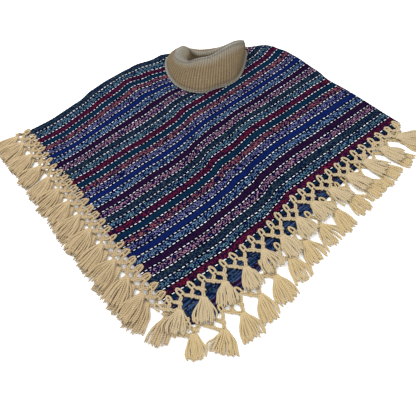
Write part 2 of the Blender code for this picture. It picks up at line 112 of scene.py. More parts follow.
# Small creases that only the looks have, in the same units
CREASES = (
    Swell(-232, 560, 40, 7, 38, 1.8),
    Swell(-196, 540, 30, 6, 52, -1.6),
    Swell(-158, 575, 36, 7, 25, 2.0),
    Swell(-120, 520, 44, 8, 38, 1.5),
    Swell(-70, 470, 38, 7, 50, -1.4),
    Swell(60, 470, 40, 7, -70, 1.6),
    Swell(118, 480, 34, 7, 70, -1.5),
    Swell(150, 520, 42, 8, 48, 1.7),
    Swell(204, 560, 36, 7, 44, 1.6),
    Swell(252, 600, 34, 8, -40, 1.8),
    Swell(170, 360, 44, 8, 30, -1.6),
    Swell(64, 300, 46, 8, 60, 1.5),
    Swell(110, 230, 38, 7, 70, -1.6),
    Swell(222, 220, 40, 7, 38, 1.4),
    Swell(300, 380, 50, 9, 48, -1.5),
    Swell(-250, 400, 50, 9, 44, 1.5),
    Swell(-120, 290, 48, 8, 36, -1.4),
    Swell(0, 120, 34, 7, 40, 1.2),
    Swell(-30, 380, 52, 9, 46, 1.3),
    Swell(360, 420, 34, 7, 44, 1.3),
)
PUCKER = 0.00025

# The main fold, from under the collar to the right hem, in millimetres
Crest = namedtuple("Crest", "x y height half_width")
RIDGE = (
    Crest(41, 545, 9, 26),
    Crest(70, 440, 12, 22),
    Crest(92, 358, 15, 19),
    Crest(124, 300, 15, 18),
    Crest(159, 246, 14, 18),
    Crest(178, 186, 10, 17),
    Crest(196, 150, 6, 16),
)
DRAW_FORWARD = (0.332, -0.943)
DRAW_AT_FRONT = 0.75
DRAW_AT_NECK = 1.30
NECK_DISTANCE = 0.720
DRAW_ROUNDS = 4

# Neck, as in the solids
NECK_LEFT = (-0.143, 0.706)
NECK_RIGHT = (0.150, 0.725)
SCOOP_CENTRE_X = 0.002
SCOOP_HALF_WIDTH = 0.090
SCOOP_DEPTH = 0.148

# Hem of the back layer where it shows past the front one: u and v in stripe periods
BACK_HEM = (
    (0.03, -0.41),
    (0.14, -0.49),
    (0.30, -0.53),
    (0.69, -0.495),
    (1.21, -0.39),
    (1.46, -0.345),
    (2.00, -0.285),
    (2.70, -0.20),
    (3.385, -0.115),
)
BACK_HEM_TABLE = np.array(BACK_HEM) * STRIPE_PERIOD
BACK_EDGE_STEPS = 15
INSIDE_SHIFT = 0.42

# Collar, in millimetres from the front point: its foot as in its solid, its rim rounder
CollarRow = namedtuple("CollarRow", "foot_x foot_y rim_x rim_y rim_z rim_half_width seam_x seam_y")
COLLAR = (
    (24, 541, 22, 643, 42, 7, 21, 590),
    (56, 560, 50, 662, 44, 10, 41, 612),
    (86, 587, 76, 680, 46, 14, 54, 640),
    (100, 622, 94, 687, 46, 16, 60, 664),
    (105, 662, 104, 692, 45, 18, 63, 676),
    (104, 700, 101, 702, 43, 17, 62, 682),
    (88, 714, 80, 706, 40, 14, 54, 682),
    (54, 715, 52, 695, 36, 14, 40, 674),
    (20, 713, 18, 684, 31, 11, 15, 668),
    (-13, 710, -12, 681, 31, 11, -11, 667),
    (-44, 709, -38, 693, 35, 13, -30, 672),
    (-80, 704, -59, 698, 40, 25, -32, 676),
    (-99, 682, -72, 678, 41, 34, -32, 667),
    (-97, 646, -70, 654, 41, 33, -31, 655),
    (-80, 604, -54, 634, 42, 19, -30, 644),
    (-50, 567, -34, 626, 43, 8, -26, 612),
    (-14, 547, -9, 636, 42, 7, -5, 594),
)
COLLAR_CLEARANCE = 0.0008
UNDERSIDE_SAMPLES = 7
LIP_RISE = 0.007
LIP_ROLL = 0.0015
RIM_DROP = 0.0045
RIM_ROLL = 0.002
OUTER_STEPS = ((0.35, 0.0035), (0.72, 0.0035), (0.96, 0.0010))
WALES = 84
SECTIONS_PER_WALE = 6
PROFILE_POINTS = 56
WALE_RIDGE = 0.0011
COURSE = 0.0046

# Fringe, as in its solids, with how wide each row's tassels fan and how far out they hang
HEM_SAMPLES = 60
HEM_GAP = 0.0005
KNOT_DISTANCE = 0.0150
KNOT_SIZE = 0.0060
KNOT_SHIFT = 0.0048
TASSEL_DISTANCE = 0.0370
STRAND_START = 0.0054
STRAND_LENGTH = 0.0430
FLOOR_CLEARANCE = 0.0004
FRINGE_HEIGHT = 0.0046
YARN_CLEARANCE = 0.0032
RAMP = 0.010
HEM_LIFT_FADE = 0.045
TasselRow = namedtuple("TasselRow", "first pitch count reach_corner reach_start reach_end fan head leans")
FRONT_RIGHT_ROW = TasselRow(0.05, 0.2630, 13, 0.85, 1.00, 0.78, 1.00, 1.00, (50, 18, 0, -12, -34))
FRONT_LEFT_ROW = TasselRow(0.13, 0.2695, 12, 1.00, 1.06, 1.00, 1.28, 0.72, (22, 18, 14, 12, 8))
BACK_RIGHT_ROW = TasselRow(0.01, 0.2475, 14, 0.74, 1.02, 0.90, 1.08, 1.00, (34, 16, 8, -4, -25))
BACK_LEFT_ROW = TasselRow(-0.24, 0.2695, 14, 0.74, 1.06, 1.00, 1.28, 0.76, (30, 16, 14, 12, 8))
LEAN_JITTER = 5.0
TASSEL_SEED = 7
YARN_SEED_STEP = 100
SOLID_DRAWS = 8

# Yarns of the fringe, as round tubes
YARN_SIDES = 6
END_PINCH = 0.72
STEEP = 0.05
TWIST_SHIFT = 0.00131
CLOTH_BLEND = 0.004

# Loops over the hem. Their path: half widths sideways, how far outside the hem, and the
# share of their depth on it; their bar: half widths, how far outside, and lift
LOOP_YARN = 0.0021
LOOP_HALF_WIDTH = 0.0036
LOOP_WIDTHS = (0.90, 1.12)
LOOP_ON_CLOTH = 0.0125
LOOP_DEPTHS = (0.85, 1.12)
LOOP_TILT = 0.0016
LOOP_LIFT = 0.0020
LOOP_STEPS = 20
LOOP_PATH = (
    (-0.70, 0.0060, 0.00),
    (-1.05, 0.0010, 0.00),
    (-1.00, 0.0000, 0.55),
    (0.00, 0.0000, 1.00),
    (1.00, 0.0000, 0.55),
    (1.05, 0.0010, 0.00),
    (0.70, 0.0060, 0.00),
)
BAR_PATH = ((-1.2, 0.0030, 0.9), (0.0, 0.0016, 1.5), (1.2, 0.0030, 0.9))
BAR_STEPS = 6

# Legs, two yarns side by side: where they start, and how far they bow along their way
LEG_YARN = 0.0018
LEG_ROOT = 0.0055
LEG_ROOT_SHIFT = 0.8
LEG_SPACING = 0.92
LEG_BOW = ((0.0, 0.75), (0.5, 1.1), (1.0, 0.75))
LEG_SAG = 0.0008
LEG_STEPS = 7

# Knots and the wraps round them
WRAP_TURNS = (-0.5, 0.5)
WRAP_SPACING = 1.7
WRAP_SLANT = 0.3
WRAP_ROUNDNESS = 0.7
WRAP_FOOT = 0.9
WRAP_SINK = 1.6
WRAP_PLACES = 7
WRAP_STEPS = 9
KNOT_DRIFT = 0.6
KNOT_LEAN = 12.0
KNOT_LEAN_JITTER = 20.0
KNOT_HALF_WIDTH = 0.78
KNOT_END = 0.9

# Tassels: their neck and head, then how their yarns fan out in two layers
NECK_ALONG = -0.0060
NECK_SPREAD = 0.0042
WRAP_ALONG = 0.003
WRAP_HALF_WIDTH = 0.0068
WRAP_HALF_DEPTH = 0.006
HEAD_SPREAD = 0.0066
HEAD_RISE = 0.0004
ROOT_SPREAD = 0.0024
STRAND_YARN = 0.0019
STRAND_TAPER = 0.9
STRAND_STEPS = 9
LOWER_STRANDS = 13
UPPER_STRANDS = 9
UPPER_SPREAD = 0.74
UPPER_HEIGHT = 1.95
FAN_HALF_WIDTH = 0.0190
FAN_WIDTHS = (0.78, 1.22)
TASSEL_SIZES = (0.90, 1.04)
SOFT_LEAN = 8.0
STRAND_SHIFT = 0.10
OUTER_SHORTER = 0.07
STRAND_LENGTHS = (-0.15, 0.09)
TIP_JITTER = 0.0030
CURL = 0.0032

# Camera: where it looks, from the front point, and how it is held
CAMERA_TARGET = Vector((0.0645, 0.2063, 0.0))
CAMERA_DISTANCE = 1.0338
CAMERA_ELEVATION = 53.12
CAMERA_AZIMUTH = 19.42
CAMERA_ROLL = -15.28
CAMERA_LENS = 43.23
SENSOR_WIDTH = 36.0

# Floor, surroundings and lights
FLOOR_SIZE = 14.0
FLOOR_HEIGHT = -0.0006
FLOOR_COLOUR = (0.92, 0.92, 0.92)
FLOOR_ROUGHNESS = 0.8
WORLD_STRENGTH = 1.15
Light = namedtuple("Light", "name place size power")
LIGHTS = (
    Light("key", (-1.3, 0.9, 1.9), 1.2, 52.0),
    Light("fill", (1.5, -1.2, 1.6), 1.6, 26.0),
)

# Stripes of one repeat, from the main stripe up: ground, flecks and how many flecks
Band = namedtuple("Band", "ground flecks amount")
BANDS = (
    Band((0.0070, 0.0028, 0.0155), (0.2600, 0.0110, 0.0180), 0.52),
    Band((0.0022, 0.0055, 0.0260), (0.1250, 0.2600, 0.3100), 0.75),
    Band((0.0025, 0.0062, 0.0210), (0.0340, 0.0620, 0.0640), 0.70),
    Band((0.0028, 0.0034, 0.0250), (0.5000, 0.2500, 0.3100), 0.72),
    Band((0.0070, 0.0026, 0.0160), (0.0280, 0.0080, 0.0230), 0.70),
    Band((0.0024, 0.0062, 0.0340), (0.1700, 0.3000, 0.4500), 0.75),
    Band((0.0026, 0.0072, 0.0520), (0.0070, 0.0190, 0.0900), 0.70),
    Band((0.0030, 0.0036, 0.0300), (0.2200, 0.2300, 0.4200), 0.70),
    Band((0.0036, 0.0036, 0.0220), (0.5200, 0.1500, 0.1300), 0.55),
    Band((0.0020, 0.0105, 0.0300), (0.0060, 0.0270, 0.0460), 0.70),
)
DASH_PITCH = 0.0520
DASH_SHARE = 0.50
DASH_WIDTH = 0.092
DASH_GROUND_WIDTH = 0.31
DASH_SLANT = 1.6
DASH_SHARE_RANGE = 0.16
BETWEEN_DASHES = (0.0012, 0.0012, 0.0025)
DULL_DASH = (0.38, 0.40, 0.48)
BRIGHT_DASH = (0.76, 0.78, 0.86)

# Flecks: cells of their lattice, and the chances that leave some out or add a stray one
CELLS_ALONG_DASH = 5.0
CELLS_ACROSS_BAND = 9.0
LATTICE_STEP = 4.0
KEPT_OVER = 0.48
STRAY_OVER = 0.93
FLECK_RANGE = 0.7
FLECK_LEAST = 0.20

# Loose yarns on the cloth's inside
FLOATS_ACROSS_BAND = 9.0
FLOATS_PER_REPEAT = 9.0
FLOAT_DRIFT = 7.0
FLOAT_OVER = 0.72
FLOAT_RELIEF = 0.8
FLOAT_COLOUR = (0.035, 0.065, 0.150)

# How the stripes wander, how their tone varies, and the relief of the weave
NOISE_DETAIL = 2.0
FINE_DETAIL = 3.0
WANDER_SCALE = 38.0
WANDER = 0.012
TONE_SCALE = 11.0
TONE_RANGE = 0.5
TONE_LEAST = 0.75
WEFTS_PER_CELL = 1.5
ROWS_RELIEF = 0.14
FLECK_RELIEF = 0.35
DASH_RELIEF = 0.9
LINE_SINK = 0.25
FUZZ_SCALE = 900.0
FUZZ_RELIEF = 0.35

# Knit: its stitches, its colours, the painted sheen along the rolled edges and the painted shade in the
# tuck, in courses
KNIT_UNEVEN_SCALE = 75.0
KNIT_UNEVEN = 1.6
STITCH_SLOPE = 1.3
WALE_ROUNDNESS = 0.8
LOBE_SHARE = 0.40
KNIT_FUZZ_SCALE = 1300.0
KNIT_FUZZ = 0.25
WORN_BY_STITCH = 0.22
WORN_SCALE = 32.0
WORN_BY_PATCH = 0.30
# Painted shade in the grooves between the stitches
KNIT_GROOVE_SHADE = (0.030, 0.018, 0.007)
KNIT_LIGHT = (0.275, 0.200, 0.105)
KNIT_WORN = (0.150, 0.102, 0.048)
# Painted sheen, a pale grey on the rolled rim and edge
KNIT_PAINTED_SHEEN = (0.300, 0.300, 0.270)
# Painted shade in the tuck
KNIT_TUCK_PAINTED_SHADE = (0.040, 0.025, 0.010)
# Where the painted sheen lies along the rim and the turned-down edge, and how strong it is
RIM_SHEEN_WIDTH = 4.5
EDGE_COURSE = 1.2
EDGE_SHEEN_WIDTH = 2.2
SHEEN_RANGE = 0.5
SHEEN_LEAST = 0.4
# The tuck: its place, its width, its painted shade and the depth of its groove
TUCK_COURSE = 3.1
TUCK_WIDTH = 0.55
TUCK_SHADE = 0.55
TUCK_DEPTH = 0.8

# Plied yarn
YARN_TURNS = 260.0
PLIES = 2.0
PLY_CREASE = 0.45
YARN_TONE_SCALE = 60.0
YARN_TONE = 0.45
YARN_DARKER = 0.72
HAIR_SCALE = 1500.0
HAIR_RELIEF = 0.4

# Surfaces: how deep and strong the relief is, and how the light leaves them
Surface = namedtuple("Surface", "depth strength roughness sheen specular")
WOVEN_SURFACE = Surface(0.0009, 0.9, 0.92, 0.0, 0.0)
KNIT_SURFACE = Surface(0.0022, 1.0, 0.90, 0.08, 0.12)
YARN_SURFACE = Surface(0.0006, 0.9, 0.88, 0.08, 0.15)
SHEEN_ROUGHNESS = 0.45

MM = 0.001
DIAGONAL = math.sqrt(0.5)
ORIGIN = Vector((0.0, 0.0, 0.0))
WELD = 1e-6
SHORT_OF_END = 1e-6
TINY = 1e-9


def smooth_step(value):
    t = min(max(value, 0.0), 1.0)
    return t * t * (3.0 - 2.0 * t)


def eased(x, xs, ys):
    """Reads a table with an easy curve between its rows."""
    if x <= xs[0]:
        return ys[0]
    if x >= xs[-1]:
        return ys[-1]
    i = int(np.searchsorted(xs, x, side="right")) - 1
    t = (x - xs[i]) / (xs[i + 1] - xs[i])
    return ys[i] + (ys[i + 1] - ys[i]) * smooth_step(t)


def catmull_rom(p0, p1, p2, p3, t):
    """A smooth way from p1 to p2, read at the share t."""
    return 0.5 * (2 * p1 + (p2 - p0) * t + (2 * p0 - 5 * p1 + 4 * p2 - p3) * t ** 2
                  + (3 * p1 - p0 - 3 * p2 + p3) * t ** 3)


def closed_curve(rows, count):
    """A smooth curve through a closed ring of rows, read at count places."""
    table = np.array(rows, dtype=float)
    size = len(table)
    points = []
    for k in range(count):
        place = k * size / count
        i = int(place)
        points.append(catmull_rom(*(table[(i + j) % size] for j in (-1, 0, 1, 2)), place - i))
    return points


def on_floor(u, v):
    """Turns a place on the panel into X and Y from the front point."""
    return (u - v) * DIAGONAL, (u + v) * DIAGONAL


def on_panel(x, y):
    """The other way round: X and Y from the front point into u and v."""
    return (x + y) * DIAGONAL, (y - x) * DIAGONAL


def sway(u, v):
    along = u / STRIPE_PERIOD
    across = [eased(along, SWAY_TABLE[:, 0], column) for column in SWAY_TABLE.T[1:]]
    return eased(v / STRIPE_PERIOD, SWAY_ACROSS, across) * MM


def fold_shift(u, v):
    shift = eased(v / STRIPE_PERIOD, FOLD_TABLE[:, 0], FOLD_TABLE[:, 1]) * MM
    return shift * (u / PANEL_LENGTH) ** 3


def swell_height(x, y, swells):
    total = 0.0
    for swell in swells:
        angle = math.radians(swell.turn)
        dx = x / MM - swell.x
        dy = y / MM - swell.y
        a = (dx * math.cos(angle) + dy * math.sin(angle)) / swell.half_length
        b = (dy * math.cos(angle) - dx * math.sin(angle)) / swell.half_width
        total += swell.height * math.exp(-(a * a + b * b))
    return total * MM


def ridge_height(x, y):
    best = 0.0
    for start, end in zip(RIDGE[:-1], RIDGE[1:]):
        dx = end.x - start.x
        dy = end.y - start.y
        t = ((x / MM - start.x) * dx + (y / MM - start.y) * dy) / (dx * dx + dy * dy)
        t = min(max(t, 0.0), 1.0)
        distance = math.hypot(x / MM - start.x - t * dx, y / MM - start.y - t * dy)
        height = start.height + (end.height - start.height) * t
        half_width = start.half_width + (end.half_width - start.half_width) * t
        best = max(best, height * math.exp(-(distance / half_width) ** 2))
    return best * MM


def front_lift(x, y):
    return swell_height(x, y, SWELLS) + ridge_height(x, y)


def rim_factor(u, v):
    distance = max(min(PANEL_LENGTH - u, PANEL_END - v), 0.0)
    t = min(distance / RIM, 1.0)
    return math.sqrt(1.0 - (1.0 - t) ** 2)


def drawn_share(y):
    return DRAW_AT_FRONT + (DRAW_AT_NECK - DRAW_AT_FRONT) * y / NECK_DISTANCE


def front_surface(u, v, details=0.0):
    """Underside of the front layer; details adds that much of the small creases."""
    x, y = on_floor(u + fold_shift(u, v), v + sway(u, v))
    rim = rim_factor(u, v)
    lift = front_lift(x, y) * rim
    if details:
        band = v / STRIPE_PERIOD * len(BANDS)
        crease = swell_height(x, y, CREASES) + PUCKER * (1.0 - math.cos(2 * math.pi * band))
        lift = max(lift + crease * details * rim, 0.0)
    draw = lift * drawn_share(y)
    return x + draw * DRAW_FORWARD[0], y + draw * DRAW_FORWARD[1], CLOTH + GAP + lift


def front_top(x, y):
    """Upper side of the front layer over a point, where its neck scoop is filled in."""
    lift = front_lift(x, y)
    for _ in range(DRAW_ROUNDS):
        draw = lift * drawn_share(y)
        lift = front_lift(x - draw * DRAW_FORWARD[0], y - draw * DRAW_FORWARD[1])
    return CLOTH + GAP + lift + CLOTH


def neck_line(x):
    """Y of the straight neck cut."""
    t = (x - NECK_LEFT[0]) / (NECK_RIGHT[0] - NECK_LEFT[0])
    return NECK_LEFT[1] + (NECK_RIGHT[1] - NECK_LEFT[1]) * t


def in_scoop(x, y):
    across = (x - SCOOP_CENTRE_X) / SCOOP_HALF_WIDTH
    down = (neck_line(x) - y) / SCOOP_DEPTH
    return down > 0.0 and across * across + down * down < 1.0


# Shader building

class Nodes:
    """A small helper that adds nodes to a material and links them."""

    def __init__(self, name):
        self.material = bpy.data.materials.new(name)
        self.material.use_nodes = True
        self.tree = self.material.node_tree
        self.shader = self.tree.nodes["Principled BSDF"]

    def add(self, kind, **values):
        node = self.tree.nodes.new(kind)
        for key, value in values.items():
            setattr(node, key, value)
        return node

    def join(self, output, target):
        self.tree.links.new(output, target)

    def math(self, operation, *values):
        node = self.add("ShaderNodeMath", operation=operation)
        for socket, value in zip(node.inputs, values):
            if isinstance(value, (int, float)):
                socket.default_value = value
            else:
                self.join(value, socket)
        return node.outputs[0]

    def plus(self, first, second):
        return self.math("ADD", first, second)

    def minus(self, first, second):
        return self.math("SUBTRACT", first, second)

    def times(self, first, second):
        return self.math("MULTIPLY", first, second)

    def whole(self, value):
        return self.math("FLOOR", value)

    def part(self, value):
        return self.math("FRACT", value)

    def ranged(self, value, span, least):
        return self.plus(self.times(value, span), least)

    def away(self, value, centre, width):
        """How many widths a value is from a centre."""
        return self.math("DIVIDE", self.math("ABSOLUTE", self.minus(value, centre)), width)

    def mix(self, factor, first, second, blend="MIX"):
        node = self.add("ShaderNodeMix", data_type="RGBA", blend_type=blend)
        for k, value in ((0, factor), (6, first), (7, second)):
            socket = node.inputs[k]
            if isinstance(value, tuple):
                socket.default_value = (*value, 1.0)
            elif isinstance(value, (int, float)):
                socket.default_value = value
            else:
                self.join(value, socket)
        return node.outputs[2]

    def steps(self, factor, colours):
        """A ramp of equal flat steps."""
        node = self.add("ShaderNodeValToRGB")
        node.color_ramp.interpolation = "CONSTANT"
        elements = node.color_ramp.elements
        while len(elements) > 1:
            elements.remove(elements[-1])
        elements[0].position = 0.0
        elements[0].color = (*colours[0], 1.0)
        for k, colour in enumerate(colours[1:], start=1):
            element = elements.new(k / len(colours))
            element.color = (*colour, 1.0)
        self.join(factor, node.inputs[0])
        return node.outputs[0]

    def noise(self, scale, detail=NOISE_DETAIL):
        node = self.add("ShaderNodeTexNoise")
        node.inputs["Scale"].default_value = scale
        node.inputs["Detail"].default_value = detail
        return node.outputs["Fac"]

    def grid_noise(self, first, second):
        """A different random value on each cell of a grid."""
        combine = self.add("ShaderNodeCombineXYZ")
        self.join(first, combine.inputs[0])
        self.join(second, combine.inputs[1])
        node = self.add("ShaderNodeTexWhiteNoise", noise_dimensions="2D")
        self.join(combine.outputs[0], node.inputs["Vector"])
        return node.outputs["Value"]

    def place(self):
        """The piece's own u and v, from its UV map."""
        uv = self.add("ShaderNodeUVMap", uv_map="weave")
        split = self.add("ShaderNodeSeparateXYZ")
        self.join(uv.outputs[0], split.inputs[0])
        return split.outputs[0], split.outputs[1]

    def finish(self, colour, height, surface):
        """Joins the colour and the relief to the shader, and returns the material."""
        inputs = self.shader.inputs
        self.join(colour, inputs["Base Color"])
        bump = self.add("ShaderNodeBump")
        bump.inputs["Strength"].default_value = surface.strength
        bump.inputs["Distance"].default_value = surface.depth
        self.join(height, bump.inputs["Height"])
        self.join(bump.outputs[0], inputs["Normal"])
        inputs["Roughness"].default_value = surface.roughness
        inputs["Sheen Weight"].default_value = surface.sheen
        inputs["Sheen Roughness"].default_value = SHEEN_ROUGHNESS
        inputs["Specular IOR Level"].default_value = surface.specular
        return self.material


def woven_material(name, dashes, fleck_share, floats):
    """Striped cloth. dashes is how much of the pale dashes shows, floats of the loose yarns."""
    n = Nodes(name)
    u, v = n.place()
    wander = n.times(n.minus(n.noise(WANDER_SCALE), 0.5), WANDER)
    shifted = n.plus(n.plus(v, wander), 0.5 / len(BANDS))
    band = n.times(shifted, len(BANDS))
    repeat = n.part(shifted)

    ground = n.steps(repeat, [b.ground for b in BANDS])
    flecks = n.steps(repeat, [b.flecks for b in BANDS])
    amount = n.steps(repeat, [(b.amount,) * 3 for b in BANDS])

    # Flecks: a lattice of small crosses with cells left out at random
    cell_u = n.whole(n.times(u, CELLS_ALONG_DASH / DASH_PITCH))
    cell_v = n.whole(n.times(band, CELLS_ACROSS_BAND))
    rising, falling = (n.math("LESS_THAN", n.math("FLOORED_MODULO", cell, LATTICE_STEP), 0.5)
                       for cell in (n.plus(cell_u, cell_v), n.minus(cell_u, cell_v)))
    lattice = n.math("MAXIMUM", rising, falling)
    chance = n.grid_noise(cell_u, cell_v)
    kept = n.math("GREATER_THAN", chance, KEPT_OVER)
    stray = n.math("GREATER_THAN", chance, STRAY_OVER)
    mask = n.math("MAXIMUM", n.times(lattice, kept), stray)
    strength = n.times(n.times(mask, amount), fleck_share)
    strength = n.times(strength, n.ranged(chance, FLECK_RANGE, FLECK_LEAST))
    colour = n.mix(strength, ground, flecks)

    # Dashes along both sides of each band
    from_edge = n.minus(0.5, n.math("ABSOLUTE", n.minus(n.part(band), 0.5)))
    line = n.math("LESS_THAN", from_edge, DASH_WIDTH / 2)
    dark_line = n.math("LESS_THAN", from_edge, DASH_GROUND_WIDTH / 2)
    past_middle = n.plus(band, 0.5)
    row = n.whole(past_middle)
    slant = n.times(n.minus(n.part(past_middle), 0.5), DASH_SLANT)
    along = n.plus(n.plus(n.math("DIVIDE", u, DASH_PITCH), slant), n.grid_noise(row, row))
    dash_chance = n.grid_noise(n.whole(along), row)
    share = n.ranged(dash_chance, DASH_SHARE_RANGE, DASH_SHARE - DASH_SHARE_RANGE / 2)
    pale_line = n.times(line, n.math("LESS_THAN", n.part(along), share))
    colour = n.mix(n.times(dark_line, dashes), colour, BETWEEN_DASHES)
    colour = n.mix(n.times(pale_line, dashes), colour, n.mix(dash_chance, DULL_DASH, BRIGHT_DASH))

    # Loose yarns that float along the stripes on the cloth's inside
    if floats:
        thread = n.whole(n.times(band, FLOATS_ACROSS_BAND))
        drift = n.times(n.grid_noise(thread, thread), FLOAT_DRIFT)
        piece = n.whole(n.plus(n.times(u, FLOATS_PER_REPEAT), drift))
        loose = n.math("GREATER_THAN", n.grid_noise(piece, thread), FLOAT_OVER)
        colour = n.mix(n.times(loose, floats), colour, FLOAT_COLOUR)
        pale_line = n.math("MAXIMUM", n.times(loose, FLOAT_RELIEF), n.times(pale_line, dashes))

    tone = n.ranged(n.noise(TONE_SCALE, FINE_DETAIL), TONE_RANGE, TONE_LEAST)
    shade = n.add("ShaderNodeCombineXYZ")
    for socket in shade.inputs:
        n.join(tone, socket)
    colour = n.mix(1.0, colour, shade.outputs[0], "MULTIPLY")

    # Relief: raised dashes and flecks, and the rows of the weave
    weft = n.math("SINE", n.times(u, 2 * math.pi * CELLS_ALONG_DASH * WEFTS_PER_CELL / DASH_PITCH))
    warp = n.math("SINE", n.times(band, 2 * math.pi * CELLS_ACROSS_BAND))
    height = n.plus(n.times(n.plus(weft, warp), ROWS_RELIEF), n.times(mask, FLECK_RELIEF))
    height = n.plus(height, n.times(pale_line, DASH_RELIEF))
    height = n.minus(height, n.times(line, LINE_SINK))
    height = n.plus(height, n.times(n.noise(FUZZ_SCALE), FUZZ_RELIEF))
    return n.finish(colour, height, WOVEN_SURFACE)


def knit_material(name, rim_course):
    """Stocking stitch: u counts wales, v counts courses up from the turned-down edge."""
    n = Nodes(name)
    u, v = n.place()
    uneven = n.times(n.minus(n.noise(KNIT_UNEVEN_SCALE), 0.5), KNIT_UNEVEN)
    u = n.plus(u, uneven)
    v = n.plus(v, uneven)
    across = n.minus(n.part(u), 0.5)
    stitch = n.plus(v, n.times(n.math("ABSOLUTE", across), STITCH_SLOPE))
    lobe = n.math("SINE", n.times(n.part(stitch), math.pi))
    wale = n.math("POWER", n.math("COSINE", n.times(across, math.pi)), WALE_ROUNDNESS)
    height = n.times(wale, n.ranged(lobe, LOBE_SHARE, 1.0 - LOBE_SHARE))

    cell = n.grid_noise(n.whole(u), n.whole(stitch))
    worn = n.plus(n.times(cell, WORN_BY_STITCH), n.times(n.noise(WORN_SCALE, FINE_DETAIL), WORN_BY_PATCH))
    # Colour follows the stitch relief: painted shade in the grooves, the yarn's own colour on the raised
    # stitches; worn adds random tone
    colour = n.mix(worn, n.mix(height, KNIT_GROOVE_SHADE, KNIT_LIGHT), KNIT_WORN)
    # Painted sheen along the rolled rim and the turned-down edge, brightest on the raised stitches
    from_rim = n.away(v, rim_course, RIM_SHEEN_WIDTH)
    from_edge = n.away(v, EDGE_COURSE, EDGE_SHEEN_WIDTH)
    painted_sheen = n.math("MAXIMUM", n.minus(1.0, n.math("MINIMUM", from_rim, from_edge)), 0.0)
    colour = n.mix(n.times(painted_sheen, n.ranged(height, SHEEN_RANGE, SHEEN_LEAST)), colour, KNIT_PAINTED_SHEEN)
    # The tuck: a groove in the relief, darkened with painted shade
    tuck = n.math("MAXIMUM", n.minus(1.0, n.away(v, TUCK_COURSE, TUCK_WIDTH)), 0.0)
    colour = n.mix(n.times(tuck, TUCK_SHADE), colour, KNIT_TUCK_PAINTED_SHADE)
    height = n.minus(height, n.times(tuck, TUCK_DEPTH))
    height = n.plus(height, n.times(n.noise(KNIT_FUZZ_SCALE, FINE_DETAIL), KNIT_FUZZ))
    return n.finish(colour, height, KNIT_SURFACE)


def yarn_material(name, deep, light):
    """Plied yarn: u runs along it in metres, v once round it. deep is painted shade in the creases between
    the plies, light the yarn's own colour.
    """
    n = Nodes(name)
    u, v = n.place()
    turn = n.plus(n.times(u, YARN_TURNS), n.times(v, PLIES))
    ply = n.math("ABSOLUTE", n.math("SINE", n.times(turn, math.pi)))
    # Painted shade in the creases between the plies
    colour = n.mix(n.math("POWER", ply, PLY_CREASE), deep, light)
    tone = n.times(n.noise(YARN_TONE_SCALE, FINE_DETAIL), YARN_TONE)
    colour = n.mix(tone, colour, tuple(YARN_DARKER * value for value in light))
    height = n.plus(ply, n.times(n.noise(HAIR_SCALE, FINE_DETAIL), HAIR_RELIEF))
    return n.finish(colour, height, YARN_SURFACE)


def plain_material(name, colour, roughness):
    n = Nodes(name)
    n.shader.inputs["Base Color"].default_value = (*colour, 1.0)
    n.shader.inputs["Roughness"].default_value = roughness
    return n.material


# Mesh building

def make_object(name, points, faces, uvs, materials, face_materials=None, smooth=True):
    """A mesh object from points, faces and one UV pair for each point."""
    mesh = bpy.data.meshes.new(name)
    mesh.from_pydata([tuple(Vector(point) + FRONT_POINT) for point in points], [], faces)
    layer = mesh.uv_layers.new(name="weave")
    index = np.empty(len(mesh.loops), dtype=np.int32)
    mesh.loops.foreach_get("vertex_index", index)
    layer.data.foreach_set("uv", np.array(uvs, dtype=np.float32)[index].ravel())
    for material in materials:
        mesh.materials.append(material)
    if face_materials is not None:
        mesh.polygons.foreach_set("material_index", face_materials)
    mesh.polygons.foreach_set("use_smooth", [smooth] * len(mesh.polygons))
    obj = bpy.data.objects.new(name, mesh)
    bpy.context.scene.collection.objects.link(obj)
    return obj


def finish_piece(obj, node):
    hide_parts(node)
    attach(obj, "root")
    return obj


def thicken(obj, thickness):
    modifier = obj.modifiers.new("wall", "SOLIDIFY")
    modifier.thickness = thickness
    modifier.offset = 1.0
    modifier.use_rim = True


def rounded_steps(start, end):
    """Even cells, with narrow ones at the rounded rim."""
    cells = int(round((end - RIM - start) / CELL))
    even = list(np.linspace(start, end - RIM, cells + 1))
    return even + [end - step for step in reversed(RIM_STEPS)] + [end]


def cut_at_neck(bm, shift):
    """Cuts the corner off along the neck line."""
    left = Vector((*NECK_LEFT, 0.0)) + shift
    right = Vector((*NECK_RIGHT, 0.0)) + shift
    outward = Vector((left.y - right.y, right.x - left.x, 0.0))
    bmesh.ops.bisect_plane(bm, geom=bm.verts[:] + bm.edges[:] + bm.faces[:], plane_co=left,
                           plane_no=outward, clear_outer=True)


def front_cloth(material):
    us = rounded_steps(0.0, PANEL_LENGTH)
    vs = rounded_steps(PANEL_START, PANEL_END)
    points = [front_surface(u, v, 1.0) for v in vs for u in us]
    uvs = [(u / STRIPE_PERIOD, v / STRIPE_PERIOD) for v in vs for u in us]
    width = len(us)
    faces = []
    for j in range(len(vs) - 1):
        for i in range(width - 1):
            corners = (j * width + i, j * width + i + 1, (j + 1) * width + i + 1, (j + 1) * width + i)
            x = sum(points[c][0] for c in corners) / 4
            y = sum(points[c][1] for c in corners) / 4
            if y < neck_line(x) + CELL and not in_scoop(x, y):
                faces.append(corners)
    obj = make_object("front_cloth", points, faces, uvs, [material])
    bm = bmesh.new()
    bm.from_mesh(obj.data)
    cut_at_neck(bm, FRONT_POINT)
    bmesh.ops.delete(bm, geom=[vert for vert in bm.verts if not vert.link_faces], context="VERTS")
    bm.to_mesh(obj.data)
    bm.free()
    thicken(obj, SHELL)
    return finish_piece(obj, "cloth_front")


def back_outline():
    """The back layer's outline, cut off along the neck line."""
    outline = [on_floor(u * STRIPE_PERIOD, v * STRIPE_PERIOD) for u, v in BACK_HEM]
    outline += [front_surface(PANEL_LENGTH, v)[:2] for v in np.linspace(0.0, PANEL_END, BACK_EDGE_STEPS)]
    outline += [front_surface(u, PANEL_END)[:2] for u in np.linspace(PANEL_LENGTH, 0.0, BACK_EDGE_STEPS)[1:]]
    return outline + [on_floor(0.0, 0.0)]


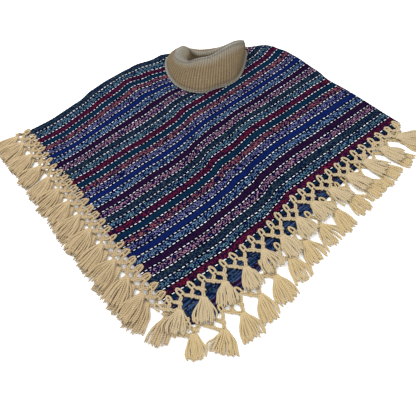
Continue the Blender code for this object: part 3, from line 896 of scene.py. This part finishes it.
def back_cloth(inside, outside):
    """The flat back layer: its inside looks up, its outside lies on the floor."""
    bm = bmesh.new()
    base = bm.faces.new([bm.verts.new((x, y, 0.0)) for x, y in back_outline()])
    base.normal_update()
    if base.normal.z > 0:
        base.normal_flip()
    cut_at_neck(bm, ORIGIN)
    solid = bmesh.ops.extrude_face_region(bm, geom=bm.faces[:], use_keep_orig=True)
    top = [item for item in solid["geom"] if isinstance(item, bmesh.types.BMVert)]
    bmesh.ops.translate(bm, verts=top, vec=(0.0, 0.0, CLOTH))
    bmesh.ops.recalc_face_normals(bm, faces=bm.faces)
    bmesh.ops.triangulate(bm, faces=bm.faces)
    bm.verts.index_update()
    points = [tuple(vert.co) for vert in bm.verts]
    faces = [[vert.index for vert in face.verts] for face in bm.faces]
    looks_up = [0 if face.normal.z > 0.5 else 1 for face in bm.faces]
    bm.free()
    uvs = []
    for point in points:
        u, v = on_panel(point[0], point[1])
        uvs.append((u / STRIPE_PERIOD, v / STRIPE_PERIOD + INSIDE_SHIFT))
    obj = make_object("back_cloth", points, faces, uvs, [inside, outside], looks_up, smooth=False)
    return finish_piece(obj, "cloth_back")


def resting_heights(foot, seam):
    foot_z = front_top(*foot) + COLLAR_CLEARANCE
    seam_z = front_top(*seam) + COLLAR_CLEARANCE
    short = 0.0
    for t in np.linspace(0.0, 1.0, UNDERSIDE_SAMPLES):
        place = foot + (seam - foot) * t
        chord = foot_z + (seam_z - foot_z) * t
        short = max(short, front_top(*place) + COLLAR_CLEARANCE - chord)
    return foot_z + short, seam_z + short


def collar_section(values):
    """One section of the collar's ring, from the foot over the rim to the seam."""
    row = CollarRow(*values * MM)
    foot = np.array((row.foot_x, row.foot_y))
    rim = np.array((row.rim_x, row.rim_y))
    seam = np.array((row.seam_x, row.seam_y))
    foot_z, seam_z = resting_heights(foot, seam)
    inward = (seam - foot) / np.linalg.norm(seam - foot)
    lip_z = foot_z + LIP_RISE
    edge_z = row.rim_z - RIM_DROP

    def outer(share, bulge):
        place = foot + (rim - foot) * share - inward * bulge / 2
        return (*place, lip_z + (edge_z - lip_z) * share + bulge)

    def inner(share):
        edge = rim + inward * row.rim_half_width
        return (*(edge + (seam - edge) * share), edge_z + (seam_z - edge_z) * share)

    return [
        (*foot, foot_z),
        (*(foot - inward * LIP_ROLL), foot_z + LIP_RISE / 2),
        (*(foot + inward * LIP_ROLL), lip_z),
        *(outer(share, bulge) for share, bulge in OUTER_STEPS),
        (*(rim + inward * RIM_ROLL), row.rim_z),
        inner(0.0),
        inner(0.5),
        (*seam, seam_z),
    ]


def knitted_collar():
    rows = closed_curve(COLLAR, WALES * SECTIONS_PER_WALE)
    rings = np.array([closed_curve(collar_section(row), PROFILE_POINTS) for row in rows])
    count, size = rings.shape[:2]
    lengths = np.linalg.norm(np.roll(rings, -1, axis=1) - rings, axis=2).mean(axis=0)
    along = np.concatenate(([0.0], np.cumsum(lengths)))
    around = np.roll(rings, -1, axis=0) - np.roll(rings, 1, axis=0)
    up = np.roll(rings, -1, axis=1) - np.roll(rings, 1, axis=1)
    normals = np.cross(around, up)
    normals /= np.maximum(np.linalg.norm(normals, axis=2, keepdims=True), TINY)
    centre = rings.mean(axis=1, keepdims=True)
    if ((rings - centre) * normals).sum() < 0:
        normals = -normals
    phase = np.arange(count) / SECTIONS_PER_WALE
    ridge = WALE_RIDGE * np.abs(np.sin(math.pi * phase))[:, None, None]
    rings = rings + normals * (ridge - WALE_RIDGE)

    points = []
    uvs = []
    for i in range(count + 1):
        for k in range(size + 1):
            points.append(rings[i % count, k % size])
            uvs.append((i / SECTIONS_PER_WALE, along[k] / COURSE))
    faces = []
    for i in range(count):
        for k in range(size):
            a = i * (size + 1) + k
            faces.append((a, a + size + 1, a + size + 2, a + 1))
    top = int(np.argmax(rings[:, :, 2].mean(axis=0)))
    material = knit_material("stocking_stitch", float(along[top] / COURSE))
    obj = make_object("knitted_collar", points, faces, uvs, [material])
    bm = bmesh.new()
    bm.from_mesh(obj.data)
    bmesh.ops.remove_doubles(bm, verts=bm.verts, dist=WELD)
    bmesh.ops.recalc_face_normals(bm, faces=bm.faces)
    bm.to_mesh(obj.data)
    bm.free()
    return finish_piece(obj, "collar")


# Fringe

class Hem:
    """A hem as a run of points on the cloth's edge, with its outward side."""

    def __init__(self, points, outward):
        self.points = np.array(points)
        self.outward = np.array(outward)

    def along(self):
        turned = np.array((-self.outward[1], self.outward[0], 0.0))
        forward = self.points[-1, 1:3] - self.points[0, 1:3]
        return turned if forward @ turned[:2] > 0 else -turned

    def read(self, s):
        table = self.points
        if s <= table[0, 0]:
            return table[0, 1:] + self.along() * (s - table[0, 0])
        if s >= table[-1, 0]:
            return table[-1, 1:] + self.along() * (s - table[-1, 0])
        return np.array([np.interp(s, table[:, 0], table[:, k]) for k in (1, 2, 3)])


def back_edge_distance(x, y):
    u, v = on_panel(x, y)
    return max(-u, float(np.interp(u, BACK_HEM_TABLE[:, 0], BACK_HEM_TABLE[:, 1])) - v)


def front_fringe_floor(x, y):
    outside = back_edge_distance(x, y)
    on_cloth = CLOTH + FLOOR_CLEARANCE
    at_edge = FLOOR_CLEARANCE + YARN_CLEARANCE + GAP
    past_edge = FLOOR_CLEARANCE + FRINGE_HEIGHT + GAP
    rise = smooth_step((outside + RAMP) / RAMP)
    climb = smooth_step(outside / RAMP)
    return on_cloth + (at_edge - on_cloth) * rise + (past_edge - at_edge) * climb


def floor_clearance(x, y):
    return FLOOR_CLEARANCE


class YarnWork:
    """Collects the yarns of one fringe as tubes in a single mesh."""

    def __init__(self, hem, floor, cloth_top):
        self.hem = hem
        self.floor = floor
        self.cloth_top = cloth_top
        self.points = []
        self.faces = []
        self.uvs = []

    def place(self, s, d, height):
        """A point s along the hem and d outside it, at a height over what it lies on."""
        edge = self.hem.read(s)
        x, y = edge[:2] + self.hem.outward * (d + HEM_GAP)
        lift = max(edge[2] - CLOTH - GAP, 0.0) * (1.0 - smooth_step(d / HEM_LIFT_FADE))
        lying = self.floor(x, y) + lift
        on_cloth = self.cloth_top(s, d)
        blend = smooth_step(-d / CLOTH_BLEND + 0.5)
        return np.array((x, y, lying + (on_cloth - lying) * blend + height))

    def tube(self, path, radius, taper=1.0):
        """A round yarn along a path, closed at both ends."""
        path = np.array(path)
        count = len(path)
        forward = np.gradient(path, axis=0)
        forward /= np.maximum(np.linalg.norm(forward, axis=1, keepdims=True), TINY)
        side = np.cross(forward, (0.0, 0.0, 1.0))
        side[np.linalg.norm(side, axis=1) < STEEP] = (1.0, 0.0, 0.0)
        side /= np.linalg.norm(side, axis=1, keepdims=True)
        up = np.cross(side, forward)
        length = np.concatenate(([0.0], np.cumsum(np.linalg.norm(np.diff(path, axis=0), axis=1))))
        base = len(self.points)
        twist_start = base * TWIST_SHIFT
        for i in range(count):
            size = radius * (1.0 + (taper - 1.0) * i / (count - 1))
            if i in (0, count - 1):
                size *= END_PINCH
            for k in range(YARN_SIDES + 1):
                angle = 2 * math.pi * k / YARN_SIDES
                self.points.append(path[i] + (side[i] * math.cos(angle) + up[i] * math.sin(angle)) * size)
                self.uvs.append((twist_start + length[i], k / YARN_SIDES))
        ring = YARN_SIDES + 1
        for i in range(count - 1):
            for k in range(YARN_SIDES):
                a = base + i * ring + k
                self.faces.append((a, a + 1, a + ring + 1, a + ring))
        self.faces.append(tuple(base + k for k in range(YARN_SIDES)))
        last = base + (count - 1) * ring
        self.faces.append(tuple(last + k for k in reversed(range(YARN_SIDES))))

    def curve(self, controls, steps):
        """A smooth path through a few (s, d, height) places."""
        table = np.array([controls[0], *controls, controls[-1]], dtype=float)
        path = []
        spans = len(controls) - 1
        for j in range(steps + 1):
            place = min(j * spans / steps, spans - SHORT_OF_END)
            i = int(place)
            path.append(self.place(*catmull_rom(*table[i:i + 4], place - i)))
        return path

    def loop(self, s, rng):
        """A lark's head: an oval of yarn over the hem, open at its lower end."""
        width = LOOP_HALF_WIDTH * rng.uniform(*LOOP_WIDTHS)
        deep = -LOOP_ON_CLOTH * rng.uniform(*LOOP_DEPTHS)
        tilt = rng.uniform(-LOOP_TILT, LOOP_TILT)
        controls = [(s + width * across + (tilt if inside else 0.0), outside + deep * inside, LOOP_LIFT)
                    for across, outside, inside in LOOP_PATH]
        self.tube(self.curve(controls, LOOP_STEPS), LOOP_YARN)
        bar = [(s + width * across, outside, LOOP_LIFT * lift) for across, outside, lift in BAR_PATH]
        self.tube(self.curve(bar, BAR_STEPS), LEG_YARN)

    def leg(self, start, end, rng):
        """Two yarns side by side from one (s, d) place to another."""
        (s0, d0), (s1, d1) = start, end
        length = math.hypot(s1 - s0, d1 - d0)
        across_s = (d1 - d0) / length
        across_d = -(s1 - s0) / length
        sag = rng.uniform(-LEG_SAG, LEG_SAG)
        for side in (-1, 1):
            half = LEG_YARN * LEG_SPACING * side
            controls = []
            for t, bow in LEG_BOW:
                offset = half * bow + sag * math.sin(math.pi * t)
                controls.append((s0 + (s1 - s0) * t + across_s * offset,
                                 d0 + (d1 - d0) * t + across_d * offset, LEG_YARN))
            self.tube(self.curve(controls, LEG_STEPS), LEG_YARN)

    def wrap(self, s, d, half_width, half_depth, lean):
        """Yarn twice round a bundle: arcs over its top, one beside the other."""
        for turn in WRAP_TURNS:
            shift = turn * LEG_YARN * WRAP_SPACING
            controls = []
            for share in np.linspace(-1.0, 1.0, WRAP_PLACES):
                across = half_width * share
                along = shift + half_depth * WRAP_SLANT * share
                arch = math.cos(share * math.pi / 2) ** WRAP_ROUNDNESS
                rise = LEG_YARN * WRAP_FOOT + (FRINGE_HEIGHT - LEG_YARN * WRAP_SINK) * arch
                controls.append((s + across * math.cos(lean) - along * math.sin(lean),
                                 d + along * math.cos(lean) + across * math.sin(lean), rise))
            self.tube(self.curve(controls, WRAP_STEPS), LEG_YARN)

    def knot(self, s, towards, reach, rng):
        """A knot under two hanks; returns the (s, d) places above and below it."""
        d = KNOT_DISTANCE * reach
        low = s + KNOT_SHIFT * towards * KNOT_DRIFT
        lean = math.radians(rng.uniform(-KNOT_LEAN_JITTER, KNOT_LEAN_JITTER) - KNOT_LEAN * towards)
        self.wrap((s + low) / 2, d + KNOT_SIZE / 2, KNOT_SIZE * KNOT_HALF_WIDTH, KNOT_SIZE, lean)
        return (s, d), (low, d + KNOT_SIZE * KNOT_END)

    def tassel(self, s, lean, reach, row, rng):
        """A tied head and its yarns fanned out below, ending where the solid's strands do."""
        distance = TASSEL_DISTANCE * reach * row.head
        full_length = STRAND_LENGTH + TASSEL_DISTANCE * (1.0 - row.head)
        size = (1.0 + reach) / 2 * rng.uniform(*TASSEL_SIZES)
        lean += math.radians(rng.uniform(-SOFT_LEAN, SOFT_LEAN))
        sin_lean = math.sin(lean)
        cos_lean = math.cos(lean)
        fan = FAN_HALF_WIDTH * row.fan * rng.uniform(*FAN_WIDTHS)
        self.wrap(s + WRAP_ALONG * sin_lean, distance - WRAP_ALONG * cos_lean,
                  WRAP_HALF_WIDTH, WRAP_HALF_DEPTH, lean)
        layers = ((LOWER_STRANDS, 1.0, STRAND_YARN),
                  (UPPER_STRANDS, UPPER_SPREAD, STRAND_YARN * UPPER_HEIGHT))
        for count, spread, height in layers:
            for k in range(count):
                share = 2 * k / (count - 1) - 1 + rng.uniform(-STRAND_SHIFT, STRAND_SHIFT)
                shorter = 1.0 - OUTER_SHORTER * abs(share) + rng.uniform(*STRAND_LENGTHS)
                length = full_length * size * shorter
                tip = fan * spread * share + rng.uniform(-TIP_JITTER, TIP_JITTER)
                curl = rng.uniform(-CURL, CURL)
                controls = []
                for along, across, high in (
                        (NECK_ALONG, NECK_SPREAD * share, height * 0.8),
                        (0.0, HEAD_SPREAD * share, height + HEAD_RISE),
                        (STRAND_START + length * 0.22, 0.62 * tip + ROOT_SPREAD * share, height),
                        (STRAND_START + length * 0.60, 0.97 * tip + curl, height * 0.92),
                        (STRAND_START + length, tip, max(STRAND_YARN, height * 0.62))):
                    controls.append((s + across * cos_lean - along * sin_lean,
                                     distance + along * cos_lean + across * sin_lean, high))
                self.tube(self.curve(controls, STRAND_STEPS), STRAND_YARN, STRAND_TAPER)
        return s - NECK_ALONG * sin_lean, distance + NECK_ALONG * cos_lean

    def finish(self, name, node, material):
        obj = make_object(name, self.points, self.faces, self.uvs, [material])
        return finish_piece(obj, node)


def fringe(name, node, hem, floor, cloth_top, row, material):
    """One knotted fringe: loops at every half pitch, a tassel under every second."""
    seed = TASSEL_SEED + len(node)
    solid_rng = np.random.default_rng(seed)
    rng = np.random.default_rng(seed + YARN_SEED_STEP)
    work = YarnWork(hem, floor, cloth_top)
    pitch = row.pitch * STRIPE_PERIOD
    start = row.first * STRIPE_PERIOD
    lean_places = np.linspace(0.0, 1.0, len(row.leans))
    last_place = hem.points[-1, 0] - LOOP_HALF_WIDTH
    work.loop(start - pitch / 2, rng)
    for k in range(row.count):
        s = start + k * pitch
        share = k / (row.count - 1)
        reach = row.reach_start + (row.reach_end - row.reach_start) * share if k else row.reach_corner
        lean = np.interp(share, lean_places, row.leans) + solid_rng.uniform(-LEAN_JITTER, LEAN_JITTER)
        solid_rng.uniform(size=SOLID_DRAWS)
        work.loop(s, rng)
        work.loop(min(s + pitch / 2, last_place), rng)
        neck = work.tassel(s, math.radians(lean), reach, row, rng)
        for towards, sides in ((1, (-pitch / 2, 0.0)), (-1, (0.0, pitch / 2))):
            above, below = work.knot(s - towards * pitch / 4, towards, reach, rng)
            for side in sides:
                root = min(s + side, last_place)
                inwards = LOOP_HALF_WIDTH * LEG_ROOT_SHIFT * (1 if above[0] > root else -1)
                work.leg((root + inwards, LEG_ROOT), above, rng)
            work.leg(below, neck, rng)
    return work.finish(name, node, material)


# The left fringes get a darker, greyer copy of the yarn: painted shade
def all_fringes(front_material, back_material, shaded_left_material):
    to_right = (DIAGONAL, -DIAGONAL)
    to_left = (-DIAGONAL, -DIAGONAL)
    steps_u = np.linspace(0.0, PANEL_LENGTH, HEM_SAMPLES)
    steps_v = np.linspace(PANEL_START, PANEL_END, HEM_SAMPLES)
    front_right = Hem([(u, *front_surface(u, PANEL_START)) for u in steps_u], to_right)
    front_left = Hem([(v, *front_surface(0.0, v)) for v in steps_v], to_left)
    places = [(u * STRIPE_PERIOD, v * STRIPE_PERIOD) for u, v in BACK_HEM]
    back_right = Hem([(u, *on_floor(u, v), 0.0) for u, v in places], to_right)
    back_left = Hem([(places[0][1], *on_floor(*places[0]), 0.0),
                     (0.0, *on_floor(0.0, 0.0), 0.0),
                     (PANEL_END, *front_surface(0.0, PANEL_END)[:2], 0.0)], to_left)

    def over_right_hem(s, d):
        u = min(max(s, 0.0), PANEL_LENGTH)
        return front_surface(u, PANEL_START - min(d, 0.0))[2] + SHELL

    def over_left_hem(s, d):
        v = min(max(s, PANEL_START), PANEL_END)
        return front_surface(-min(d, 0.0), v)[2] + SHELL

    def over_back(s, d):
        return CLOTH

    return (
        fringe("front_right_fringe", "fringe_front_right", front_right, front_fringe_floor, over_right_hem,
               FRONT_RIGHT_ROW, front_material),
        fringe("front_left_fringe", "fringe_front_left", front_left, front_fringe_floor, over_left_hem,
               FRONT_LEFT_ROW, shaded_left_material),
        fringe("back_right_fringe", "fringe_back_right", back_right, floor_clearance, over_back,
               BACK_RIGHT_ROW, back_material),
        fringe("back_left_fringe", "fringe_back_left", back_left, floor_clearance, over_back,
               BACK_LEFT_ROW, shaded_left_material),
    )


# Stage

def aim(obj, target):
    direction = target - obj.location
    obj.rotation_euler = direction.to_track_quat("-Z", "Y").to_euler()


def area_light(light):
    data = bpy.data.lights.new(light.name, "AREA")
    data.shape = "DISK"
    data.size = light.size
    data.energy = light.power
    obj = bpy.data.objects.new(light.name, data)
    obj.location = light.place
    bpy.context.scene.collection.objects.link(obj)
    aim(obj, ORIGIN)


def stage():
    bpy.ops.mesh.primitive_plane_add(size=FLOOR_SIZE, location=(0.0, 0.0, FLOOR_HEIGHT))
    floor = bpy.context.object
    floor.name = "floor"
    floor.data.materials.append(plain_material("pale_floor", FLOOR_COLOUR, FLOOR_ROUGHNESS))

    bpy.context.scene.view_settings.view_transform = "Standard"
    world = bpy.data.worlds.new("studio")
    bpy.context.scene.world = world
    world.use_nodes = True
    background = world.node_tree.nodes["Background"]
    background.inputs["Color"].default_value = (1.0, 1.0, 1.0, 1.0)
    background.inputs["Strength"].default_value = WORLD_STRENGTH
    for light in LIGHTS:
        area_light(light)


def camera():
    elevation = math.radians(CAMERA_ELEVATION)
    azimuth = math.radians(CAMERA_AZIMUTH)
    roll = math.radians(CAMERA_ROLL)
    target = FRONT_POINT + CAMERA_TARGET
    away = Vector((math.sin(azimuth) * math.cos(elevation), -math.cos(azimuth) * math.cos(elevation),
                   math.sin(elevation)))
    level = (-away).cross(Vector((0.0, 0.0, 1.0))).normalized()
    upright = level.cross(-away)
    right = level * math.cos(roll) + upright * math.sin(roll)
    up = upright * math.cos(roll) - level * math.sin(roll)
    data = bpy.data.cameras.new("camera")
    data.lens = CAMERA_LENS
    data.sensor_width = SENSOR_WIDTH
    obj = bpy.data.objects.new("camera", data)
    turn = Matrix((right, up, away)).transposed().to_4x4()
    obj.matrix_world = Matrix.Translation(target + away * CAMERA_DISTANCE) @ turn
    bpy.context.scene.collection.objects.link(obj)
    bpy.context.scene.camera = obj


outside = woven_material("woven_stripes", 1.0, 1.0, 0.0)
inside = woven_material("woven_inside", 0.10, 0.25, 0.60)
# Each yarn's first colour is painted shade in the creases between its plies
front_yarn = yarn_material("front_fringe_yarn", (0.200, 0.140, 0.068), (0.430, 0.345, 0.212))
back_yarn = yarn_material("back_fringe_yarn", (0.210, 0.143, 0.060), (0.450, 0.345, 0.185))
# A darker, greyer copy of the yarn for the left fringes: painted shade
shaded_left_yarn = yarn_material("left_fringe_yarn_painted_shade", (0.170, 0.115, 0.055), (0.410, 0.310, 0.180))

back = back_cloth(inside, outside)
front = front_cloth(outside)
knitted_collar()
fringes = all_fringes(front_yarn, back_yarn, shaded_left_yarn)

stage()
camera()
